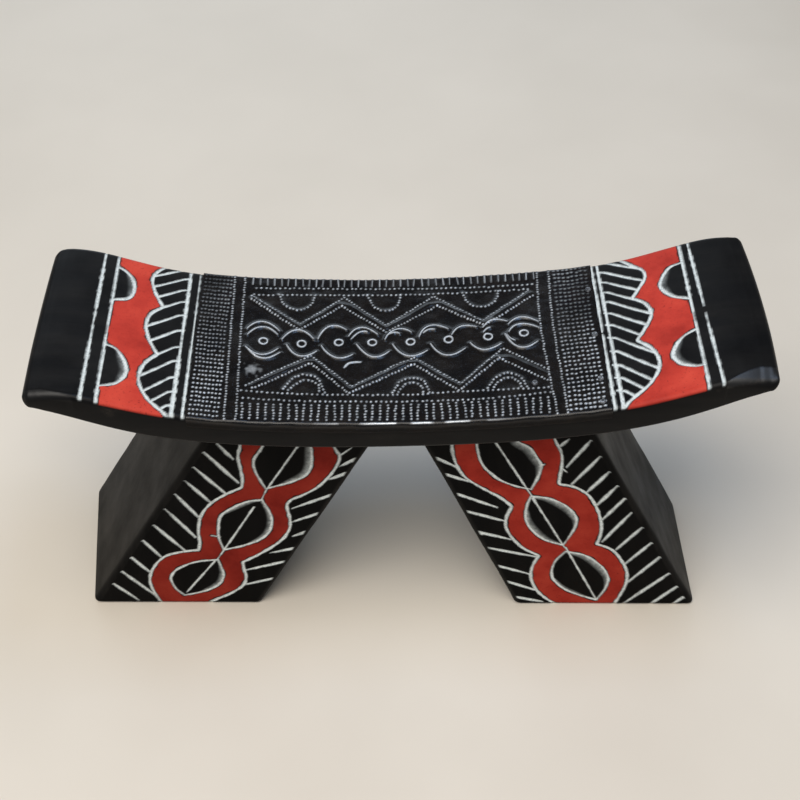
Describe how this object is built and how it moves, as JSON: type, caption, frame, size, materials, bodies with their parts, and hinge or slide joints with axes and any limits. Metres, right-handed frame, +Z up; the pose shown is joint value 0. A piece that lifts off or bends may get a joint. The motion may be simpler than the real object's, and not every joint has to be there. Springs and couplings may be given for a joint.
{
  "type": "headrest",
  "caption": "Carved black wooden headrest with a curved board on two splayed legs, red and white incised eyes and rays, and a stamped metal sheet over the saddle.",
  "frame": {"origin": "centre of the seat's plan at floor level", "axes": "+X along the length of the seat, +Y to the back, +Z up"},
  "size_m": [0.3635, 0.1098, 0.182],
  "materials": {
    "lacquered_wood": "satin",
    "stamped_sheet": "satin",
    "tack_steel": "satin"
  },
  "bodies": {
    "root": {"seat_board": "lacquered_wood", "embossed_panel": "stamped_sheet", "panel_tacks": "tack_steel", "left_leg": "lacquered_wood", "right_leg": "lacquered_wood"}
  },
  "joints": []
}
